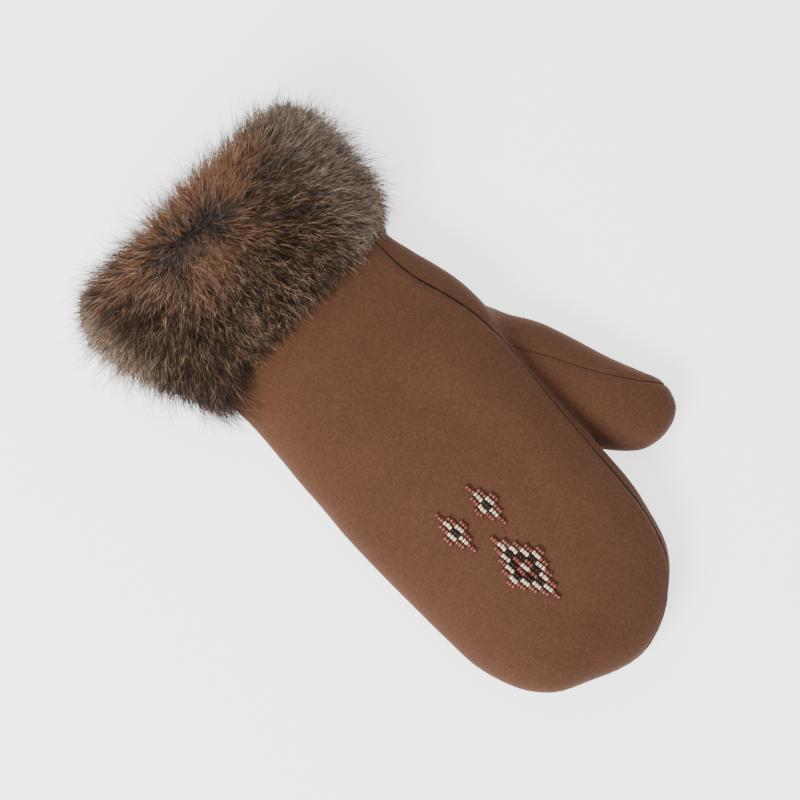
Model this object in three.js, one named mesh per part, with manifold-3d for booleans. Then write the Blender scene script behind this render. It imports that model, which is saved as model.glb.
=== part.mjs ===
// A right-hand suede mitten with a beaded back and a deep fur cuff, lying palm down.
// Millimetres, +Z up, +Y towards the fingertips, thumb at -X.
// The origin is on the floor, under the middle of the palm.
import * as THREE from 'three';
import { mergeVertices } from 'three/addons/utils/BufferGeometryUtils.js';
import Module from 'manifold-3d';

const wasm = await Module();
wasm.setup();

// Driving dimensions of the hand
const HAND_LENGTH = 292.5; // from the hem inside the cuff to the fingertip
const HAND_WIDTH = 114; // across the palm
const HAND_DEPTH = 43; // back to palm, as it lies
const ORIGIN_FROM_HEM = 137; // from the hem to the middle of the palm
const SUEDE = 2.4; // thickness of the suede walls
const SEAM_GAP = 0.3; // clearance between two panels at a seam
const SECTION_ROUNDNESS = 2.4; // 2 is an ellipse, more is squarer
const OUTER_SEAM_TURN = 205; // degrees round to the seam under the little finger
const THUMB_LIFT = 5; // how far the thumb beneath raises the hand's edge
const BED_HOLLOW = 0.55; // share by which the palm gives way over the thumb

// Driving dimensions of the thumb
const THUMB_LENGTH = 135.5; // from its root inside the palm to its tip
const THUMB_WIDTH = 43;
const THUMB_DEPTH = 27;
const THUMB_SPREAD = 19.2; // degrees from the hand's direction
const THUMB_SIDE_TILT = 3.5; // how far its side under the hand lies below the outer side
const THUMB_ROOT_SIDE = 40; // from the hand's middle line to the root
const THUMB_ROOT_FROM_HEM = 100;

// Driving dimensions of the cuff
const CUFF_LENGTH = 64; // pelt, from the hem towards the fingers
const CUFF_CLEARANCE = 0.3; // between the pelt and the suede
const FUR_BODY = 8; // pelt with its pressed underfur
const CUFF_EDGE = 3.2; // thickness at the cut edge on the hand
const TURN_IN = 12; // pelt folded to the inside of the mouth
const TURN_IN_THICKNESS = 2.2;
const MOUTH_ROLL = 6; // how far the fold stands past the hem
const LOCK_SPACING = 15; // between locks, round the cuff
const LOCK_WIDTH = 14;
const LOCK_REACH = 19; // along the pelt, root to tip
const LOCK_RISE = 7; // ridge above the underfur
const LOCK_SWEEP = 7; // how far tips are combed round towards the sides
const FLOOR_CLEARANCE = 0.4; // lowest that a lock comes

// Fineness of the faceted surfaces
const HAND_FACETS = 30;
const HAND_RINGS = 20;
const THUMB_FACETS = 16;
const THUMB_RINGS = 12;
const SEAM_STEPS = 36;

// Sections of the hand from the hem to the fingertip.
// at: share of HAND_LENGTH. left, right: edges as shares of HAND_WIDTH.
// top, under: heights as shares of HAND_DEPTH; under 0 is pressed flat on the floor.
// seam: degrees up from the thumb side to the seam of the back.
// bed: how far the hand's edge is bedded on the thumb, from 0 to 1.
const HAND_SECTIONS = [
  { at: 0, left: -0.534, right: 0.546, top: 1.22, under: 0.165, seam: 38, bed: 0 },
  { at: 0.109, left: -0.529, right: 0.511, top: 1.14, under: 0.165, seam: 35, bed: 0 },
  { at: CUFF_LENGTH / HAND_LENGTH, left: -0.500, right: 0.446, top: 1.05, under: 0.150, seam: 32, bed: 0 },
  { at: 0.280, left: -0.526, right: 0.437, top: 1.00, under: 0.090, seam: 38, bed: 0 },
  { at: 0.325, left: -0.557, right: 0.443, top: 1.00, under: 0.040, seam: 40, bed: 0 },
  { at: 0.366, left: -0.579, right: 0.454, top: 1.00, under: -0.030, seam: 38, bed: 0.1 },
  { at: 0.410, left: -0.586, right: 0.465, top: 1.00, under: -0.050, seam: 33, bed: 0.3 },
  { at: 0.451, left: -0.568, right: 0.473, top: 1.00, under: -0.050, seam: 25, bed: 0.55 },
  { at: 0.496, left: -0.544, right: 0.482, top: 1.00, under: -0.050, seam: 15, bed: 0.85 },
  { at: 0.554, left: -0.531, right: 0.493, top: 1.00, under: -0.050, seam: 15, bed: 1 },
  { at: 0.674, left: -0.513, right: 0.493, top: 0.98, under: -0.050, seam: 22, bed: 1 },
  { at: 0.776, left: -0.500, right: 0.494, top: 0.94, under: -0.050, seam: 23, bed: 0.5 },
  { at: 0.834, left: -0.472, right: 0.482, top: 0.90, under: -0.050, seam: 20, bed: 0.15 },
  { at: 0.889, left: -0.434, right: 0.439, top: 0.83, under: -0.050, seam: 20, bed: 0 },
  { at: 0.923, left: -0.384, right: 0.386, top: 0.77, under: -0.040, seam: 18, bed: 0 },
  { at: 0.950, left: -0.316, right: 0.311, top: 0.71, under: -0.020, seam: 15, bed: 0 },
  { at: 0.972, left: -0.246, right: 0.193, top: 0.64, under: 0.040, seam: 14, bed: 0 },
  { at: 0.988, left: -0.162, right: 0.105, top: 0.56, under: 0.120, seam: 14, bed: 0 },
  { at: 0.997, left: -0.088, right: 0.031, top: 0.46, under: 0.220, seam: 14, bed: 0 },
  { at: 1, left: -0.035, right: -0.035, top: 0.34, under: 0.340, seam: 14, bed: 0 },
];

// Sections of the thumb from its root to its tip.
// at: share of THUMB_LENGTH. outer, inner: edges as shares of THUMB_WIDTH.
// top, under: heights as shares of THUMB_DEPTH.
const THUMB_SECTIONS = [
  { at: 0, outer: 0.28, inner: 0.28, top: 0.9, under: 0.12 },
  { at: 0.15, outer: 0.34, inner: 0.4, top: 0.97, under: -0.02 },
  { at: 0.3, outer: 0.4, inner: 0.465, top: 1, under: -0.06 },
  { at: 0.42, outer: 0.477, inner: 0.49, top: 1, under: -0.06 },
  { at: 0.55, outer: 0.493, inner: 0.49, top: 1, under: -0.06 },
  { at: 0.7, outer: 0.482, inner: 0.477, top: 1, under: -0.06 },
  { at: 0.82, outer: 0.493, inner: 0.437, top: 0.97, under: -0.06 },
  { at: 0.9, outer: 0.502, inner: 0.33, top: 0.91, under: -0.04 },
  { at: 0.95, outer: 0.43, inner: 0.226, top: 0.84, under: 0.02 },
  { at: 0.985, outer: 0.326, inner: 0.047, top: 0.7, under: 0.14 },
  { at: 1, outer: 0.158, inner: -0.158, top: 0.45, under: 0.45 },
];

// The seam that joins the heel to the finger side, seen from above: over the palm from the
// little finger, out at the thumb's crotch, and along the thumb past its tip.
// across, along: shares of HAND_WIDTH and HAND_LENGTH from the middle of the hem.
const THUMB_SEAM = [
  { across: 0.702, along: 0.359 },
  { across: 0.351, along: 0.369 },
  { across: 0.000, along: 0.390 },
  { across: -0.263, along: 0.424 },
  { across: -0.439, along: 0.465 },
  { across: -0.531, along: 0.495 },
  { across: -0.570, along: 0.520 },
  { across: -0.614, along: 0.547 },
  { across: -0.667, along: 0.588 },
  { across: -0.728, along: 0.632 },
  { across: -0.807, along: 0.680 },
  { across: -0.864, along: 0.709 },
  { across: -0.982, along: 0.773 },
];

// Half of the cuff's section, from the cut edge on the hand, over the fur side, to the fold inside.
// along: shares of CUFF_LENGTH where positive, of MOUTH_ROLL where negative.
// out: shares of FUR_BODY outwards from the suede.
const FUR_SIDE = [
  { along: 0.985, out: 0.3 },
  { along: 0.9, out: 0.62 },
  { along: 0.72, out: 0.88 },
  { along: 0.5, out: 1.0 },
  { along: 0.28, out: 1.08 },
  { along: 0.1, out: 1.1 },
  { along: -0.25, out: 0.98 },
  { along: -0.72, out: 0.66 },
  { along: -1.0, out: 0.2 },
];

// Rows of locks, combed both ways from where the hair parts.
// from: share of the fur side's length from the cut edge. comb: -1 to the hand, 1 to the mouth.
// reach: share of LOCK_REACH.
const LOCK_ROWS = [
  { from: 0.15, comb: -1, reach: 1.0 },
  { from: 0.33, comb: -1, reach: 1.05 },
  { from: 0.51, comb: -1, reach: 1.05 },
  { from: 0.69, comb: -1, reach: 1.0 },
  { from: 0.74, comb: 1, reach: 0.8 },
  { from: 0.91, comb: 1, reach: 0.6 },
];

const DEGREE = Math.PI / 180;
const FLOOR_LEVEL = 0;

// A smooth curve through a table: every column at q rows from the first.
function rowAt(rows, q) {
  const i = Math.min(Math.max(Math.floor(q), 0), rows.length - 2);
  const t = q - i;
  const [a, b, c, d] = [i - 1, i, i + 1, i + 2].map(
    (k) => rows[Math.min(Math.max(k, 0), rows.length - 1)],
  );
  const found = {};
  for (const name of Object.keys(b)) {
    const [p, r, s, u] = [a[name], b[name], c[name], d[name]];
    found[name] =
      r + 0.5 * t * (s - p + t * (2 * p - 5 * r + 4 * s - u + t * (3 * (r - s) + u - p)));
  }
  return found;
}

const signedPower = (value, power) => Math.sign(value) * Math.abs(value) ** power;
const smooth = (t) => THREE.MathUtils.smoothstep(t, 0, 1);

// A point of a flattened section: turn 0 is the thumb side, 90 the back, 180 the far side.
function sectionPoint(turn, left, right, top, under) {
  const power = 2 / SECTION_ROUNDNESS;
  const across = signedPower(Math.cos(turn * DEGREE), power);
  const up = signedPower(Math.sin(turn * DEGREE), power);
  return {
    x: (left + right) / 2 - (across * (right - left)) / 2,
    z: (top + under) / 2 + (up * (top - under)) / 2,
    up,
  };
}

// The hand's outer surface, q rows from the hem. Its underside is flat where it rests, and
// lifted along the thumb.
function handSurface(turn, q) {
  const row = rowAt(HAND_SECTIONS, q);
  const top = row.top * HAND_DEPTH;
  const under = row.under * HAND_DEPTH;
  const p = sectionPoint(turn, row.left * HAND_WIDTH, row.right * HAND_WIDTH, top, under);
  const bedded = row.bed * smooth((-p.x / HAND_WIDTH - 0.16) / 0.26);
  p.z += THUMB_LIFT * bedded;
  if (p.up < 0) p.z -= (p.up * BED_HOLLOW * bedded * (top - under)) / 2;
  const along = row.at * HAND_LENGTH - ORIGIN_FROM_HEM;
  return new THREE.Vector3(p.x, along, Math.max(p.z, FLOOR_LEVEL));
}

// The thumb's outer surface, q rows from its root.
function thumbSurface(turn, q) {
  const row = rowAt(THUMB_SECTIONS, q);
  const p = sectionPoint(
    turn,
    -row.outer * THUMB_WIDTH,
    row.inner * THUMB_WIDTH,
    row.top * THUMB_DEPTH,
    row.under * THUMB_DEPTH,
  );
  const height = p.z - THUMB_SIDE_TILT * smooth(p.x / (THUMB_WIDTH / 2));
  const place = new THREE.Vector3(p.x, row.at * THUMB_LENGTH, Math.max(height, FLOOR_LEVEL));
  place.applyAxisAngle(new THREE.Vector3(0, 0, 1), THUMB_SPREAD * DEGREE);
  return place.add(
    new THREE.Vector3(-THUMB_ROOT_SIDE, THUMB_ROOT_FROM_HEM - ORIGIN_FROM_HEM, 0),
  );
}

// The outward normal of a surface, from its neighbours.
function normalOf(surface, turn, q, lastRow) {
  const step = 0.01;
  const before = Math.max(q - step, 0);
  const after = Math.min(q + step, lastRow - step);
  const around = surface(turn + 1, Math.min(q, after)).sub(surface(turn - 1, Math.min(q, after)));
  const onwards = surface(turn, after).sub(surface(turn, Math.min(before, after - step)));
  return around.cross(onwards).normalize();
}

// A closed solid from a grid of points: rings[i][j], closed round j, capped at both ends.
// A column j that is listed in turned has its facets split along the other diagonal.
function solidFromRings(rings, turned = []) {
  const around = rings[0].length;
  const points = rings.flat();
  const middle = (ring) =>
    ring.reduce((sum, p) => sum.add(p), new THREE.Vector3()).divideScalar(ring.length);
  const faces = [];
  for (let i = 0; i + 1 < rings.length; i++) {
    for (let j = 0; j < around; j++) {
      const a = i * around + j;
      const b = i * around + ((j + 1) % around);
      if (turned.includes(j)) faces.push(a, a + around, b + around, a, b + around, b);
      else faces.push(a, a + around, b, b, a + around, b + around);
    }
  }
  const first = points.push(middle(rings[0])) - 1;
  const last = points.push(middle(rings.at(-1))) - 1;
  const lastRing = (rings.length - 1) * around;
  for (let j = 0; j < around; j++) {
    const next = (j + 1) % around;
    faces.push(first, j, next, last, lastRing + next, lastRing + j);
  }
  return solidFrom(points, faces);
}

// A manifold solid from points and faces, turned so that its faces point out.
function solidFrom(points, faces) {
  const geometry = new THREE.BufferGeometry().setFromPoints(points).setIndex(faces);
  const merged = mergeVertices(geometry, 1e-4);
  const triVerts = [];
  for (let i = 0; i < merged.index.count; i += 3) {
    const [a, b, c] = [0, 1, 2].map((k) => merged.index.getX(i + k));
    if (a !== b && b !== c && c !== a) triVerts.push(a, b, c);
  }
  const build = (corners) =>
    new wasm.Manifold(
      new wasm.Mesh({
        numProp: 3,
        vertProperties: merged.attributes.position.array,
        triVerts: new Uint32Array(corners),
      }),
    );
  const made = build(triVerts);
  return made.volume() > 0 ? made : build(triVerts.toReversed());
}

// The row at which ring i of a loft lies. The first rings keep to whole and half rows.
const ringRow = (i, steps, lastRow) =>
  i < 4 ? i / 2 : 2 + ((lastRow - 2) * (i - 4)) / (steps - 4);

// A lofted form of a surface, taken in by a depth along its normals. The first ring can
// start further back, so that a hollow runs out through the mouth.
function loft(surface, rows, facets, steps, depth, startBack) {
  const lastRow = rows.length - 1;
  const rings = [];
  for (let i = 0; i <= steps; i++) {
    const q = ringRow(i, steps, lastRow);
    rings.push(
      Array.from({ length: facets }, (_, j) => {
        const turn = (360 * j) / facets;
        const normal =
          i === steps ? endDirection(surface, lastRow) : normalOf(surface, turn, q, lastRow);
        return surface(turn, q).addScaledVector(normal, -depth);
      }),
    );
  }
  if (startBack) {
    rings.unshift(rings[0].map((p) => p.clone().add(new THREE.Vector3(0, -startBack, 0))));
  }
  return solidFromRings(rings);
}

// The direction in which a loft's closed end points.
function endDirection(surface, lastRow) {
  const middle = surface(90, lastRow - 1).add(surface(270, lastRow - 1)).divideScalar(2);
  const onwards = surface(0, lastRow).sub(middle);
  return onwards.setZ(0).normalize();
}

// A thin blade along a line on a surface, as wide as the seam gap.
function bladeAlong(places, normals, outwards, inwards) {
  const rings = places.map((place, k) => {
    const before = places[Math.max(k - 1, 0)];
    const after = places[Math.min(k + 1, places.length - 1)];
    const side = after.clone().sub(before).cross(normals[k]).normalize();
    return [
      [1, outwards],
      [1, -inwards],
      [-1, -inwards],
      [-1, outwards],
    ].map(([hand, out]) =>
      place
        .clone()
        .addScaledVector(side, (hand * SEAM_GAP) / 2)
        .addScaledVector(normals[k], out),
    );
  });
  return solidFromRings(rings, [2]);
}

// The seam round the back panel: up the thumb side, over the fingertip, down the far side.
function backSeamBlade() {
  const lastRow = HAND_SECTIONS.length - 1;
  const places = [];
  const normals = [];
  const add = (turn, q) => {
    places.push(handSurface(turn, q));
    normals.push(normalOf(handSurface, turn, q, lastRow));
  };
  const past = new THREE.Vector3(0, -5, 0);
  const steps = SEAM_STEPS;
  for (let i = 0; i < steps; i++) {
    const q = (i / steps) * lastRow;
    add(rowAt(HAND_SECTIONS, q).seam, q);
  }
  places.push(handSurface(0, lastRow));
  normals.push(endDirection(handSurface, lastRow));
  for (let i = steps - 1; i >= 0; i--) {
    const q = (i / steps) * lastRow;
    add(OUTER_SEAM_TURN, q);
  }
  places.unshift(places[0].clone().add(past));
  normals.unshift(normals[0]);
  places.push(places.at(-1).clone().add(past));
  normals.push(normals.at(-1));
  return bladeAlong(places, normals, 2 * SUEDE, 2 * SUEDE);
}

// The seam between heel and fingers, cut straight down.
function thumbSeamBlade() {
  const line = new THREE.CatmullRomCurve3(
    THUMB_SEAM.map(
      (p) =>
        new THREE.Vector3(p.across * HAND_WIDTH, p.along * HAND_LENGTH - ORIGIN_FROM_HEM, 0),
    ),
  );
  const places = line.getPoints(2 * (THUMB_SEAM.length - 1));
  const up = new THREE.Vector3(0, 0, 1);
  return bladeAlong(places, places.map(() => up), HAND_DEPTH * 1.5, HAND_DEPTH * 0.5);
}

// The whole suede form, hollow, with the thumb's hollow open into the hand's.
function suedeForm() {
  const runOut = 20;
  const hand = (depth, startBack) =>
    loft(handSurface, HAND_SECTIONS, HAND_FACETS, HAND_RINGS, depth, startBack);
  const thumb = (depth) =>
    loft(thumbSurface, THUMB_SECTIONS, THUMB_FACETS, THUMB_RINGS, depth, 0);
  const outside = hand(0, 0).add(thumb(0));
  const inside = hand(SUEDE, runOut).add(thumb(SUEDE));
  return outside.subtract(inside);
}

// The two largest bodies of a cut solid.
function twoBodies(solid) {
  return solid
    .decompose()
    .sort((a, b) => b.volume() - a.volume())
    .slice(0, 2);
}

const heightOf = (solid) => solid.boundingBox().min[2];
const reachOf = (solid) => solid.boundingBox().max[1];

// The suede cut along its seams into back, heel and finger side.
function suedePanels() {
  const [back, palmSide] = twoBodies(suedeForm().subtract(backSeamBlade())).sort(
    (a, b) => heightOf(b) - heightOf(a),
  );
  const [fingers, heel] = twoBodies(palmSide.subtract(thumbSeamBlade())).sort(
    (a, b) => reachOf(b) - reachOf(a),
  );
  return { back, heel, fingers };
}

// How many rows from the hem a length along the hand is.
function rowAtLength(along) {
  let low = 0;
  let high = HAND_SECTIONS.length - 1;
  for (let i = 0; i < 40; i++) {
    const middle = (low + high) / 2;
    if (rowAt(HAND_SECTIONS, middle).at * HAND_LENGTH < along) low = middle;
    else high = middle;
  }
  return low;
}

// A place out from the suede, along the hand from the hem; before the hem it runs straight back.
function aroundWrist(turn, along, out) {
  const q = rowAtLength(Math.max(along, 0));
  const place = handSurface(turn, q);
  const outward = normalOf(handSurface, turn, q, HAND_SECTIONS.length - 1).setY(0).normalize();
  place.y = along - ORIGIN_FROM_HEM;
  place.addScaledVector(outward, out);
  place.z = Math.max(place.z, FLOOR_LEVEL);
  return place;
}

// The fur side of the cuff's section in millimetres.
const furSide = FUR_SIDE.map(
  ({ along, out }) =>
    new THREE.Vector2(along > 0 ? along * CUFF_LENGTH : along * MOUTH_ROLL, out * FUR_BODY),
);

// The cuff's whole section: the fur side, the fold inside the mouth, and back along the
// suede, with a point at each of the suede's own rings.
function cuffSection() {
  const foldInside = -(SUEDE + CUFF_CLEARANCE);
  const suedeRings = [0.5, 1, 1.5].map((q) => rowAt(HAND_SECTIONS, q).at * HAND_LENGTH);
  return [
    { x: CUFF_LENGTH, y: CUFF_CLEARANCE },
    { x: CUFF_LENGTH, y: CUFF_CLEARANCE + CUFF_EDGE / 2 },
    ...furSide,
    { x: -MOUTH_ROLL * 0.85, y: foldInside },
    { x: -MOUTH_ROLL * 0.3, y: foldInside - TURN_IN_THICKNESS },
    { x: TURN_IN, y: foldInside - TURN_IN_THICKNESS * 0.8 },
    { x: TURN_IN, y: foldInside },
    { x: -CUFF_CLEARANCE, y: foldInside },
    { x: -CUFF_CLEARANCE, y: CUFF_CLEARANCE },
    ...suedeRings.map((along) => ({ x: along, y: CUFF_CLEARANCE })),
  ];
}

// The pelt as a closed ring: the section carried round the wrist.
function peltRing() {
  const section = cuffSection();
  const count = section.length;
  const points = [];
  const faces = [];
  for (let j = 0; j < HAND_FACETS; j++) {
    const turn = (360 * j) / HAND_FACETS;
    for (const { x, y } of section) points.push(aroundWrist(turn, x, y));
    for (let k = 0; k < count; k++) {
      const a = j * count + k;
      const b = j * count + ((k + 1) % count);
      const c = ((j + 1) % HAND_FACETS) * count + k;
      const d = ((j + 1) % HAND_FACETS) * count + ((k + 1) % count);
      faces.push(a, c, b, b, c, d);
    }
  }
  return solidFrom(points, faces);
}

// A place on the fur side, a length in from the cut edge, and raised from it. Past the cut
// edge it runs on over the suede.
function onFurSide(length, raised) {
  let left = length;
  let k = 0;
  while (k < furSide.length - 2 && left > furSide[k].distanceTo(furSide[k + 1])) {
    left -= furSide[k].distanceTo(furSide[k + 1]);
    k += 1;
  }
  const way = furSide[k + 1].clone().sub(furSide[k]).normalize();
  const place = furSide[k].clone().addScaledVector(way, left);
  if (length < 0) place.set(furSide[0].x - length, CUFF_EDGE / 2);
  const normal = new THREE.Vector2(way.y, -way.x);
  return place.addScaledVector(normal, raised);
}

// Turns that are evenly spaced along the outline of the fur, shifted by a share of the spacing.
function evenTurns(shift) {
  const fine = 720;
  const outline = Array.from({ length: fine + 1 }, (_, i) =>
    aroundWrist((360 * i) / fine, CUFF_LENGTH / 4, FUR_BODY),
  );
  const lengths = [0];
  for (let i = 1; i <= fine; i++) lengths.push(lengths[i - 1] + outline[i].distanceTo(outline[i - 1]));
  const whole = lengths[fine];
  const number = Math.round(whole / LOCK_SPACING);
  return Array.from({ length: number }, (_, n) => {
    const wanted = (whole * ((n + shift) % number)) / number;
    return (360 * lengths.findIndex((length) => length >= wanted)) / fine;
  });
}

// A repeatable number from -1 to 1 for a lock.
const sway = (row, column, kind) => Math.sin(row * 12.9898 + column * 78.233 + kind * 37.719);

// One lock of fur: a ridge that rises from the underfur and ends in a point, with its
// foot inside the pelt.
function lock(turn, length, { comb, reach: reachShare }, row, column) {
  const reach = reachShare * LOCK_REACH * (1 + 0.2 * sway(row, column, 1));
  const rise = LOCK_RISE * (1 + 0.2 * sway(row, column, 2));
  const sweep = LOCK_SWEEP * (-Math.cos(turn * DEGREE) + 0.5 * sway(row, column, 3));
  const at = (share, side, raised) => {
    const { x, y } = onFurSide(length + comb * share * reach, raised);
    const place = aroundWrist(turn, x, Math.max(y, CUFF_CLEARANCE * 2));
    const round = aroundWrist(turn + 2, x, FUR_BODY).sub(aroundWrist(turn - 2, x, FUR_BODY));
    return place.addScaledVector(round.normalize(), side * (LOCK_WIDTH / 2) + sweep * share);
  };
  const bury = -1.2;
  const tip = at(1, 0, 0.75 * rise);
  const foot = at(0.92, 0, bury);
  return [
    [at(-0.1, -0.6, bury), at(-0.1, 0, 0.1), at(-0.1, 0.6, bury)],
    [at(0.5, -1, bury), at(0.5, 0, rise), at(0.5, 1, bury)],
    [foot, tip, foot.clone()],
  ];
}

// The fur cuff: locks in staggered rows fused to the pelt, combed both ways from the parting.
function furCuff() {
  let whole = 0;
  for (let k = 1; k < furSide.length; k++) whole += furSide[k].distanceTo(furSide[k - 1]);
  const solids = [peltRing()];
  LOCK_ROWS.forEach((kind, row) => {
    evenTurns((row % 2) / 2).forEach((turn, column) => {
      const rings = lock(turn, kind.from * whole, kind, row, column);
      if (rings.flat().every((p) => p.z > FLOOR_CLEARANCE)) solids.push(solidFromRings(rings));
    });
  });
  return wasm.Manifold.union(solids);
}

// A mesh with a name and a finish from a solid.
function namedMesh(name, solid, material) {
  const { numProp, vertProperties, triVerts } = solid.getMesh();
  const positions = [];
  for (let i = 0; i < vertProperties.length; i += numProp) {
    positions.push(vertProperties[i], vertProperties[i + 1], vertProperties[i + 2]);
  }
  const geometry = new THREE.BufferGeometry();
  geometry.setAttribute('position', new THREE.Float32BufferAttribute(positions, 3));
  geometry.setIndex(Array.from(triVerts));
  const mesh = new THREE.Mesh(geometry, material);
  mesh.name = name;
  return mesh;
}

const suede = new THREE.MeshStandardMaterial({ color: 0x744a33, roughness: 0.95, metalness: 0 });
const fur = new THREE.MeshStandardMaterial({ color: 0x4a382c, roughness: 0.9, metalness: 0 });

const mitten = new THREE.Group();
const panels = suedePanels();
mitten.add(namedMesh('back_panel', panels.back, suede));
mitten.add(namedMesh('heel_panel', panels.heel, suede));
mitten.add(namedMesh('finger_panel', panels.fingers, suede));
mitten.add(namedMesh('fur_cuff', furCuff(), fur));

export default mitten;
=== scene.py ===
import math

import bmesh
import bpy
import numpy as np
from mathutils import Matrix, Vector, noise
from mathutils.bvhtree import BVHTree


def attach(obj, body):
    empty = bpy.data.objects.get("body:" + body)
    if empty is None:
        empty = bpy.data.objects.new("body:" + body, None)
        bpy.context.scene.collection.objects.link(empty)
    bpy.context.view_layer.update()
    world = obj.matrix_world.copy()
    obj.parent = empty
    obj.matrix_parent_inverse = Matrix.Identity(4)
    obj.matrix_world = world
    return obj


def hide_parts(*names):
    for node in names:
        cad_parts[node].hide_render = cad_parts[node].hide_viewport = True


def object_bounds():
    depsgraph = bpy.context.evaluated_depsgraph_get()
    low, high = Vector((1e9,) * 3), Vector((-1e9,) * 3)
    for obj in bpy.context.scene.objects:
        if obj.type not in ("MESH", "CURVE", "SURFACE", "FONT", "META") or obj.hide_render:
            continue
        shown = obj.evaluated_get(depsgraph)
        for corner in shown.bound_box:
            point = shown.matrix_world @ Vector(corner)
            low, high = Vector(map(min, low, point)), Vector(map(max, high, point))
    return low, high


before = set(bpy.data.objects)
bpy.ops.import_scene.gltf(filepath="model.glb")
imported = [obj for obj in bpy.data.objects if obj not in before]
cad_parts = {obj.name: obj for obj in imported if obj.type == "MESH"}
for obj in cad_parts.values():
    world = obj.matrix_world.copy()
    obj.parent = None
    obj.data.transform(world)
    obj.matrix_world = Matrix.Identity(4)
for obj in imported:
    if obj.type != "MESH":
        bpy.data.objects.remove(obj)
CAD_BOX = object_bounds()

bl_info = {
    "name": "Fur mitten",
    "version": (1, 0, 0),
    "blender": (4, 5, 0),
    "location": "View3D > Sidebar > Mitten",
    "description": "Builds a suede mitten with a beaded back and a deep fur cuff",
    "category": "Object",
}

MM = 0.001

# Shape of the hand, the thumb and the wrist. These say what the solids say.
SUPER_POWER = 2 / 2.4
OUTER_SEAM_TURN = 205
THUMB_LIFT = 5 * MM
BED_HOLLOW = 0.55
THUMB_SIDE_TILT = 3.5 * MM
THUMB_SPREAD = math.radians(19.2)
THUMB_ROOT = (-40 * MM, 100 * MM)
TURN_IN_DEPTH = 2.2 * MM
PANEL_WALL = 2.4 * MM
GAP = 0.3 * MM
# The suede and its seams run on this far behind the hem before they are cut there.
HEM_LEAD = 8 * MM
SEAM_LEAD = 15 * MM
# Of the suede's mesh before it is cut.
VOXEL = 1.8 * MM
# One stitch and one slow pucker, the share of an edge within which a vertex is moved onto a
# seam, and how far beside a seam the suede has edges. Millimetres.
STITCH = 3.1
SLOW_PUCKER = 7.3
SNAP_SHARE = 0.14
SEAM_LEVELS = (0, 0.45, -0.45, 1.0, -1.0, 1.9, -1.9)
# The panels of suede, and the solid that each takes the place of.
PANELS = {"back_suede": "back_panel", "heel_suede": "heel_panel", "finger_suede": "finger_panel"}

# Sections of the hand, from the hem to the fingertip.
# Share of the length, left and right edge, top and underside, turn of the back's seam,
# and how far the edge is bedded on the thumb.
HAND_SECTIONS = np.array([
    (0.000, -0.534, 0.546, 1.22, 0.165, 38, 0),
    (0.109, -0.529, 0.511, 1.14, 0.165, 35, 0),
    (64 / 292.5, -0.500, 0.446, 1.05, 0.150, 32, 0),
    (0.280, -0.526, 0.437, 1.00, 0.090, 38, 0),
    (0.325, -0.557, 0.443, 1.00, 0.040, 40, 0),
    (0.366, -0.579, 0.454, 1.00, -0.030, 38, 0.1),
    (0.410, -0.586, 0.465, 1.00, -0.050, 33, 0.3),
    (0.451, -0.568, 0.473, 1.00, -0.050, 25, 0.55),
    (0.496, -0.544, 0.482, 1.00, -0.050, 15, 0.85),
    (0.554, -0.531, 0.493, 1.00, -0.050, 15, 1),
    (0.674, -0.513, 0.493, 0.98, -0.050, 22, 1),
    (0.776, -0.500, 0.494, 0.94, -0.050, 23, 0.5),
    (0.834, -0.472, 0.482, 0.90, -0.050, 20, 0.15),
    (0.889, -0.434, 0.439, 0.83, -0.050, 20, 0),
    (0.923, -0.384, 0.386, 0.77, -0.040, 18, 0),
    (0.950, -0.316, 0.311, 0.71, -0.020, 15, 0),
    (0.972, -0.246, 0.193, 0.64, 0.040, 14, 0),
    (0.988, -0.162, 0.105, 0.56, 0.120, 14, 0),
    (0.997, -0.088, 0.031, 0.46, 0.220, 14, 0),
    (1.000, -0.035, -0.035, 0.34, 0.340, 14, 0),
])

# Sections of the thumb, from its root to its tip.
# Share of the length, outer and inner edge, top and underside.
THUMB_SECTIONS = np.array([
    (0.00, 0.280, 0.280, 0.90, 0.12),
    (0.15, 0.340, 0.400, 0.97, -0.02),
    (0.30, 0.400, 0.465, 1.00, -0.06),
    (0.42, 0.477, 0.490, 1.00, -0.06),
    (0.55, 0.493, 0.490, 1.00, -0.06),
    (0.70, 0.482, 0.477, 1.00, -0.06),
    (0.82, 0.493, 0.437, 0.97, -0.06),
    (0.90, 0.502, 0.330, 0.91, -0.04),
    (0.95, 0.430, 0.226, 0.84, 0.02),
    (0.985, 0.326, 0.047, 0.70, 0.14),
    (1.00, 0.158, -0.158, 0.45, 0.45),
])

# The seam between heel and fingers, as shares of the hand's width and length.
THUMB_SEAM = np.array([
    (0.702, 0.359), (0.351, 0.369), (0.000, 0.390), (-0.263, 0.424), (-0.439, 0.465),
    (-0.531, 0.495), (-0.570, 0.520), (-0.614, 0.547), (-0.667, 0.588), (-0.728, 0.632),
    (-0.807, 0.680), (-0.864, 0.709), (-0.982, 0.773),
])

# The fur side of the cuff: millimetres from the hem, and outwards from the suede.
FUR_SIDE = np.array([
    (63.0, 2.4), (57.6, 5.0), (46.1, 7.0), (32.0, 8.0), (17.9, 8.6), (6.4, 8.8),
    (-1.5, 7.8), (-4.3, 5.3), (-6.0, 1.6),
]) * MM

# The same with the fold inside the mouth, for the hair.
HAIR_SIDE = np.concatenate([FUR_SIDE, np.array([(-5.4, -2.7), (-2.5, -4.7), (5.0, -4.9)]) * MM])

# Where the hair parts: the two ends, round the cuff from the middle of the back
# and along the hand from the hem.
PARTING = np.array([(-5.0, 7.5), (19.0, 5.0)]) * MM
# The shorter line from which it is combed.
COMBED_FROM = np.array([(-2.0, 7.5), (14.0, 5.0)]) * MM

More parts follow.
